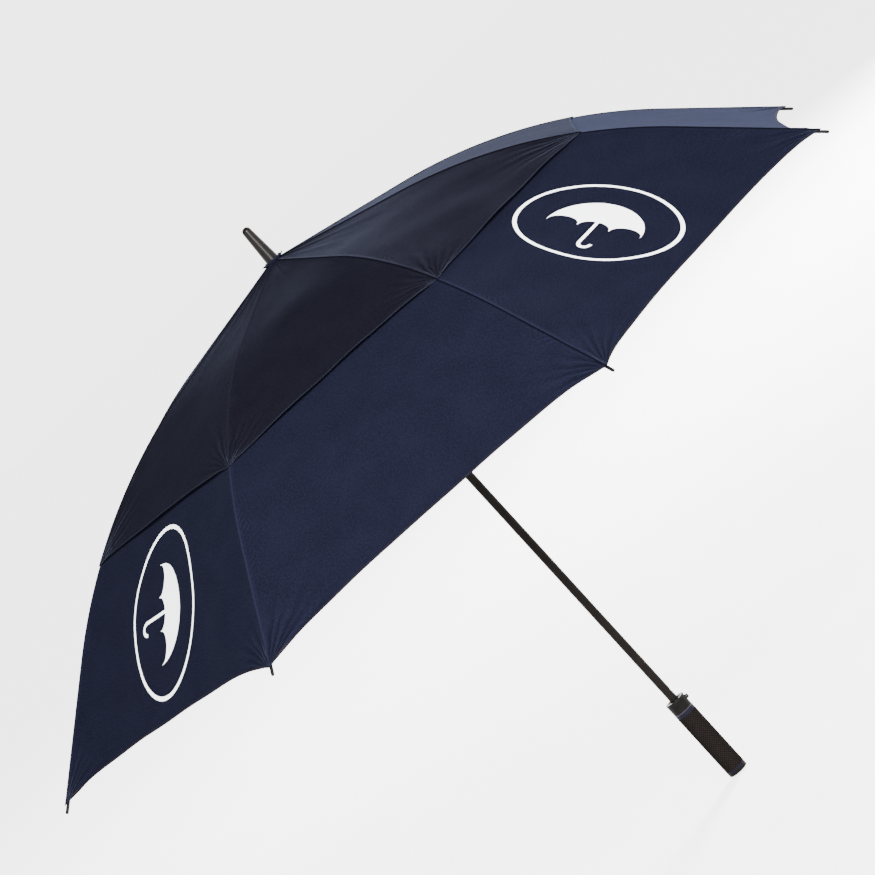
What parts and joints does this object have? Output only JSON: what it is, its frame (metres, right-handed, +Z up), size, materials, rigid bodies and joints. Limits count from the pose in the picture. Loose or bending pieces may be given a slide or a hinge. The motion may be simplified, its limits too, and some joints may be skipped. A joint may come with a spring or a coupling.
{
  "type": "golf umbrella",
  "caption": "Open golf umbrella with a vented double canopy, straight shaft and straight push-button handle; it folds down along the shaft.",
  "frame": {"origin": "middle of the underside of the handle's end cap", "axes": "+Z up the shaft from the handle to the ferrule, +X along one rib"},
  "size_m": [1.3892, 1.3892, 0.973],
  "materials": {
    "canopy_fabric": "matte",
    "rib_rod": "satin",
    "stretcher_steel": "satin",
    "shaft_steel": "satin",
    "black_plastic": "satin",
    "grip_rubber": "matte",
    "navy_band": "satin",
    "hairline_silver": "satin",
    "rim_chrome": "polished",
    "collar_plastic": "gloss",
    "spring_steel": "satin",
    "rosette_fabric": "matte"
  },
  "bodies": {
    "frame": {"shaft": "shaft_steel", "ferrule": "black_plastic", "rosette": "rosette_fabric", "crown": "black_plastic", "crown_wire": "spring_steel", "handle_core": "black_plastic", "grip": "grip_rubber", "grip_bands": "navy_band", "hairline_ring": "hairline_silver", "end_cap": "collar_plastic", "collar": "collar_plastic", "collar_ring": "rim_chrome", "spring_seat": "black_plastic", "opening_spring": "spring_steel", "latch_tongue": "spring_steel", "button_spring": "spring_steel"},
    "push_button": {"push_button": "black_plastic"},
    "runner": {"runner": "black_plastic", "runner_wire": "spring_steel", "plunger": "black_plastic"},
    "rib_1": {"rib_1": "rib_rod"},
    "rib_end_1": {"rib_end_1": "rib_rod"},
    "stretcher_1": {"stretcher_1": "stretcher_steel"},
    "rib_2": {"rib_2": "rib_rod"},
    "rib_end_2": {"rib_end_2": "rib_rod"},
    "stretcher_2": {"stretcher_2": "stretcher_steel"},
    "rib_3": {"rib_3": "rib_rod"},
    "rib_end_3": {"rib_end_3": "rib_rod"},
    "stretcher_3": {"stretcher_3": "stretcher_steel"},
    "rib_4": {"rib_4": "rib_rod"},
    "rib_end_4": {"rib_end_4": "rib_rod"},
    "stretcher_4": {"stretcher_4": "stretcher_steel"},
    "rib_5": {"rib_5": "rib_rod"},
    "rib_end_5": {"rib_end_5": "rib_rod"},
    "stretcher_5": {"stretcher_5": "stretcher_steel"},
    "rib_6": {"rib_6": "rib_rod"},
    "rib_end_6": {"rib_end_6": "rib_rod"},
    "stretcher_6": {"stretcher_6": "stretcher_steel"},
    "rib_7": {"rib_7": "rib_rod"},
    "rib_end_7": {"rib_end_7": "rib_rod"},
    "stretcher_7": {"stretcher_7": "stretcher_steel"},
    "rib_8": {"rib_8": "rib_rod"},
    "rib_end_8": {"rib_end_8": "rib_rod"},
    "stretcher_8": {"stretcher_8": "stretcher_steel"},
    "vent_1": {"vent_panel_1": "canopy_fabric"},
    "canopy_1": {"canopy_panel_1": "canopy_fabric"},
    "vent_2": {"vent_panel_2": "canopy_fabric"},
    "canopy_2": {"canopy_panel_2": "canopy_fabric"},
    "vent_3": {"vent_panel_3": "canopy_fabric"},
    "canopy_3": {"canopy_panel_3": "canopy_fabric"},
    "vent_4": {"vent_panel_4": "canopy_fabric"},
    "canopy_4": {"canopy_panel_4": "canopy_fabric"},
    "vent_5": {"vent_panel_5": "canopy_fabric"},
    "canopy_5": {"canopy_panel_5": "canopy_fabric"},
    "vent_6": {"vent_panel_6": "canopy_fabric"},
    "canopy_6": {"canopy_panel_6": "canopy_fabric"},
    "vent_7": {"vent_panel_7": "canopy_fabric"},
    "canopy_7": {"canopy_panel_7": "canopy_fabric"},
    "vent_8": {"vent_panel_8": "canopy_fabric"},
    "canopy_8": {"canopy_panel_8": "canopy_fabric"}
  },
  "joints": [
    {"name": "open_close", "type": "hinge", "parent": "frame", "child": "rib_1", "pos_m": [0.011, 0, 0.91042], "axis": [0, 1, 0], "range_deg": [0, 72], "stiffness_Nm_per_rad": 2, "springref_deg": -143.24, "deforming": ["opening_spring", "latch_tongue"]},
    {"name": "rib_1_flex", "type": "hinge", "parent": "rib_1", "child": "rib_end_1", "pos_m": [0.37498, 0, 0.8152], "axis": [0, 1, 0], "range_deg": [-16, 0]},
    {"name": "stretcher_1_hinge", "type": "hinge", "parent": "rib_1", "child": "stretcher_1", "pos_m": [0.36117, 0, 0.81366], "axis": [0, 1, 0], "range_deg": [-144, 0]},
    {"name": "rib_2_hinge", "type": "hinge", "parent": "frame", "child": "rib_2", "pos_m": [0.00778, 0.00778, 0.91042], "axis": [-0.7071, 0.7071, 0], "range_deg": [0, 72]},
    {"name": "rib_2_flex", "type": "hinge", "parent": "rib_2", "child": "rib_end_2", "pos_m": [0.26515, 0.26515, 0.8152], "axis": [-0.7071, 0.7071, 0], "range_deg": [-16, 0]},
    {"name": "stretcher_2_hinge", "type": "hinge", "parent": "rib_2", "child": "stretcher_2", "pos_m": [0.25539, 0.25539, 0.81366], "axis": [-0.7071, 0.7071, 0], "range_deg": [-144, 0]},
    {"name": "rib_3_hinge", "type": "hinge", "parent": "frame", "child": "rib_3", "pos_m": [0, 0.011, 0.91042], "axis": [-1, 0, 0], "range_deg": [0, 72]},
    {"name": "rib_3_flex", "type": "hinge", "parent": "rib_3", "child": "rib_end_3", "pos_m": [0, 0.37498, 0.8152], "axis": [-1, 0, 0], "range_deg": [-16, 0]},
    {"name": "stretcher_3_hinge", "type": "hinge", "parent": "rib_3", "child": "stretcher_3", "pos_m": [0, 0.36117, 0.81366], "axis": [-1, 0, 0], "range_deg": [-144, 0]},
    {"name": "rib_4_hinge", "type": "hinge", "parent": "frame", "child": "rib_4", "pos_m": [-0.00778, 0.00778, 0.91042], "axis": [-0.7071, -0.7071, 0], "range_deg": [0, 72]},
    {"name": "rib_4_flex", "type": "hinge", "parent": "rib_4", "child": "rib_end_4", "pos_m": [-0.26515, 0.26515, 0.8152], "axis": [-0.7071, -0.7071, 0], "range_deg": [-16, 0]},
    {"name": "stretcher_4_hinge", "type": "hinge", "parent": "rib_4", "child": "stretcher_4", "pos_m": [-0.25539, 0.25539, 0.81366], "axis": [-0.7071, -0.7071, 0], "range_deg": [-144, 0]},
    {"name": "rib_5_hinge", "type": "hinge", "parent": "frame", "child": "rib_5", "pos_m": [-0.011, 0, 0.91042], "axis": [0, -1, 0], "range_deg": [0, 72]},
    {"name": "rib_5_flex", "type": "hinge", "parent": "rib_5", "child": "rib_end_5", "pos_m": [-0.37498, 0, 0.8152], "axis": [0, -1, 0], "range_deg": [-16, 0]},
    {"name": "stretcher_5_hinge", "type": "hinge", "parent": "rib_5", "child": "stretcher_5", "pos_m": [-0.36117, 0, 0.81366], "axis": [0, -1, 0], "range_deg": [-144, 0]},
    {"name": "rib_6_hinge", "type": "hinge", "parent": "frame", "child": "rib_6", "pos_m": [-0.00778, -0.00778, 0.91042], "axis": [0.7071, -0.7071, 0], "range_deg": [0, 72]},
    {"name": "rib_6_flex", "type": "hinge", "parent": "rib_6", "child": "rib_end_6", "pos_m": [-0.26515, -0.26515, 0.8152], "axis": [0.7071, -0.7071, 0], "range_deg": [-16, 0]},
    {"name": "stretcher_6_hinge", "type": "hinge", "parent": "rib_6", "child": "stretcher_6", "pos_m": [-0.25539, -0.25539, 0.81366], "axis": [0.7071, -0.7071, 0], "range_deg": [-144, 0]},
    {"name": "rib_7_hinge", "type": "hinge", "parent": "frame", "child": "rib_7", "pos_m": [0, -0.011, 0.91042], "axis": [1, 0, 0], "range_deg": [0, 72]},
    {"name": "rib_7_flex", "type": "hinge", "parent": "rib_7", "child": "rib_end_7", "pos_m": [0, -0.37498, 0.8152], "axis": [1, 0, 0], "range_deg": [-16, 0]},
    {"name": "stretcher_7_hinge", "type": "hinge", "parent": "rib_7", "child": "stretcher_7", "pos_m": [0, -0.36117, 0.81366], "axis": [1, 0, 0], "range_deg": [-144, 0]},
    {"name": "rib_8_hinge", "type": "hinge", "parent": "frame", "child": "rib_8", "pos_m": [0.00778, -0.00778, 0.91042], "axis": [0.7071, 0.7071, 0], "range_deg": [0, 72]},
    {"name": "rib_8_flex", "type": "hinge", "parent": "rib_8", "child": "rib_end_8", "pos_m": [0.26515, -0.26515, 0.8152], "axis": [0.7071, 0.7071, 0], "range_deg": [-16, 0]},
    {"name": "stretcher_8_hinge", "type": "hinge", "parent": "rib_8", "child": "stretcher_8", "pos_m": [0.25539, -0.25539, 0.81366], "axis": [0.7071, 0.7071, 0], "range_deg": [-144, 0]},
    {"name": "runner_hinge", "type": "hinge", "parent": "stretcher_1", "child": "runner", "pos_m": [0.011, 0, 0.71691], "axis": [0, 1, 0], "range_deg": [0, 72]},
    {"name": "vent_1_fold", "type": "hinge", "parent": "frame", "child": "vent_1", "pos_m": [0.01024, 0.00424, 0.91411], "axis": [-0.3827, 0.9239, 0], "range_deg": [0, 70.22], "deforming": ["vent_panel_1"]},
    {"name": "canopy_1_fold", "type": "hinge", "parent": "vent_1", "child": "canopy_1", "pos_m": [0.31513, 0.13053, 0.8219], "axis": [-0.3827, 0.9239, 0], "range_deg": [-19.23, 0], "deforming": ["canopy_panel_1"]},
    {"name": "vent_2_fold", "type": "hinge", "parent": "frame", "child": "vent_2", "pos_m": [0.00424, 0.01024, 0.91411], "axis": [-0.9239, 0.3827, 0], "range_deg": [0, 70.22], "deforming": ["vent_panel_2"]},
    {"name": "canopy_2_fold", "type": "hinge", "parent": "vent_2", "child": "canopy_2", "pos_m": [0.13053, 0.31513, 0.8219], "axis": [-0.9239, 0.3827, 0], "range_deg": [-19.23, 0], "deforming": ["canopy_panel_2"]},
    {"name": "vent_3_fold", "type": "hinge", "parent": "frame", "child": "vent_3", "pos_m": [-0.00424, 0.01024, 0.91411], "axis": [-0.9239, -0.3827, 0], "range_deg": [0, 70.22], "deforming": ["vent_panel_3"]},
    {"name": "canopy_3_fold", "type": "hinge", "parent": "vent_3", "child": "canopy_3", "pos_m": [-0.13053, 0.31513, 0.8219], "axis": [-0.9239, -0.3827, 0], "range_deg": [-19.23, 0], "deforming": ["canopy_panel_3"]},
    {"name": "vent_4_fold", "type": "hinge", "parent": "frame", "child": "vent_4", "pos_m": [-0.01024, 0.00424, 0.91411], "axis": [-0.3827, -0.9239, 0], "range_deg": [0, 70.22], "deforming": ["vent_panel_4"]},
    {"name": "canopy_4_fold", "type": "hinge", "parent": "vent_4", "child": "canopy_4", "pos_m": [-0.31513, 0.13053, 0.8219], "axis": [-0.3827, -0.9239, 0], "range_deg": [-19.23, 0], "deforming": ["canopy_panel_4"]},
    {"name": "vent_5_fold", "type": "hinge", "parent": "frame", "child": "vent_5", "pos_m": [-0.01024, -0.00424, 0.91411], "axis": [0.3827, -0.9239, 0], "range_deg": [0, 70.22], "deforming": ["vent_panel_5"]},
    {"name": "canopy_5_fold", "type": "hinge", "parent": "vent_5", "child": "canopy_5", "pos_m": [-0.31513, -0.13053, 0.8219], "axis": [0.3827, -0.9239, 0], "range_deg": [-19.23, 0], "deforming": ["canopy_panel_5"]},
    {"name": "vent_6_fold", "type": "hinge", "parent": "frame", "child": "vent_6", "pos_m": [-0.00424, -0.01024, 0.91411], "axis": [0.9239, -0.3827, 0], "range_deg": [0, 70.22], "deforming": ["vent_panel_6"]},
    {"name": "canopy_6_fold", "type": "hinge", "parent": "vent_6", "child": "canopy_6", "pos_m": [-0.13053, -0.31513, 0.8219], "axis": [0.9239, -0.3827, 0], "range_deg": [-19.23, 0], "deforming": ["canopy_panel_6"]},
    {"name": "vent_7_fold", "type": "hinge", "parent": "frame", "child": "vent_7", "pos_m": [0.00424, -0.01024, 0.91411], "axis": [0.9239, 0.3827, 0], "range_deg": [0, 70.22], "deforming": ["vent_panel_7"]},
    {"name": "canopy_7_fold", "type": "hinge", "parent": "vent_7", "child": "canopy_7", "pos_m": [0.13053, -0.31513, 0.8219], "axis": [0.9239, 0.3827, 0], "range_deg": [-19.23, 0], "deforming": ["canopy_panel_7"]},
    {"name": "vent_8_fold", "type": "hinge", "parent": "frame", "child": "vent_8", "pos_m": [0.01024, -0.00424, 0.91411], "axis": [0.3827, 0.9239, 0], "range_deg": [0, 70.22], "deforming": ["vent_panel_8"]},
    {"name": "canopy_8_fold", "type": "hinge", "parent": "vent_8", "child": "canopy_8", "pos_m": [0.31513, -0.13053, 0.8219], "axis": [0.3827, 0.9239, 0], "range_deg": [-19.23, 0], "deforming": ["canopy_panel_8"]},
    {"name": "button_press", "type": "slide", "parent": "frame", "child": "push_button", "axis": [-0.9558, 0.294, 0], "range_m": [0, 0.0012], "stiffness_N_per_m": 600, "deforming": ["button_spring"]}
  ],
  "couplings": [
    {"joint": "rib_1_flex", "follows": "open_close", "ratio": -0.22222},
    {"joint": "stretcher_1_hinge", "follows": "open_close", "ratio": -2},
    {"joint": "rib_2_hinge", "follows": "open_close", "ratio": 1},
    {"joint": "rib_2_flex", "follows": "open_close", "ratio": -0.22222},
    {"joint": "stretcher_2_hinge", "follows": "open_close", "ratio": -2},
    {"joint": "rib_3_hinge", "follows": "open_close", "ratio": 1},
    {"joint": "rib_3_flex", "follows": "open_close", "ratio": -0.22222},
    {"joint": "stretcher_3_hinge", "follows": "open_close", "ratio": -2},
    {"joint": "rib_4_hinge", "follows": "open_close", "ratio": 1},
    {"joint": "rib_4_flex", "follows": "open_close", "ratio": -0.22222},
    {"joint": "stretcher_4_hinge", "follows": "open_close", "ratio": -2},
    {"joint": "rib_5_hinge", "follows": "open_close", "ratio": 1},
    {"joint": "rib_5_flex", "follows": "open_close", "ratio": -0.22222},
    {"joint": "stretcher_5_hinge", "follows": "open_close", "ratio": -2},
    {"joint": "rib_6_hinge", "follows": "open_close", "ratio": 1},
    {"joint": "rib_6_flex", "follows": "open_close", "ratio": -0.22222},
    {"joint": "stretcher_6_hinge", "follows": "open_close", "ratio": -2},
    {"joint": "rib_7_hinge", "follows": "open_close", "ratio": 1},
    {"joint": "rib_7_flex", "follows": "open_close", "ratio": -0.22222},
    {"joint": "stretcher_7_hinge", "follows": "open_close", "ratio": -2},
    {"joint": "rib_8_hinge", "follows": "open_close", "ratio": 1},
    {"joint": "rib_8_flex", "follows": "open_close", "ratio": -0.22222},
    {"joint": "stretcher_8_hinge", "follows": "open_close", "ratio": -2},
    {"joint": "runner_hinge", "follows": "open_close", "ratio": 1},
    {"joint": "vent_1_fold", "follows": "open_close", "ratio": 0.97528},
    {"joint": "canopy_1_fold", "follows": "open_close", "ratio": -0.26708},
    {"joint": "vent_2_fold", "follows": "open_close", "ratio": 0.97528},
    {"joint": "canopy_2_fold", "follows": "open_close", "ratio": -0.26708},
    {"joint": "vent_3_fold", "follows": "open_close", "ratio": 0.97528},
    {"joint": "canopy_3_fold", "follows": "open_close", "ratio": -0.26708},
    {"joint": "vent_4_fold", "follows": "open_close", "ratio": 0.97528},
    {"joint": "canopy_4_fold", "follows": "open_close", "ratio": -0.26708},
    {"joint": "vent_5_fold", "follows": "open_close", "ratio": 0.97528},
    {"joint": "canopy_5_fold", "follows": "open_close", "ratio": -0.26708},
    {"joint": "vent_6_fold", "follows": "open_close", "ratio": 0.97528},
    {"joint": "canopy_6_fold", "follows": "open_close", "ratio": -0.26708},
    {"joint": "vent_7_fold", "follows": "open_close", "ratio": 0.97528},
    {"joint": "canopy_7_fold", "follows": "open_close", "ratio": -0.26708},
    {"joint": "vent_8_fold", "follows": "open_close", "ratio": 0.97528},
    {"joint": "canopy_8_fold", "follows": "open_close", "ratio": -0.26708}
  ]
}
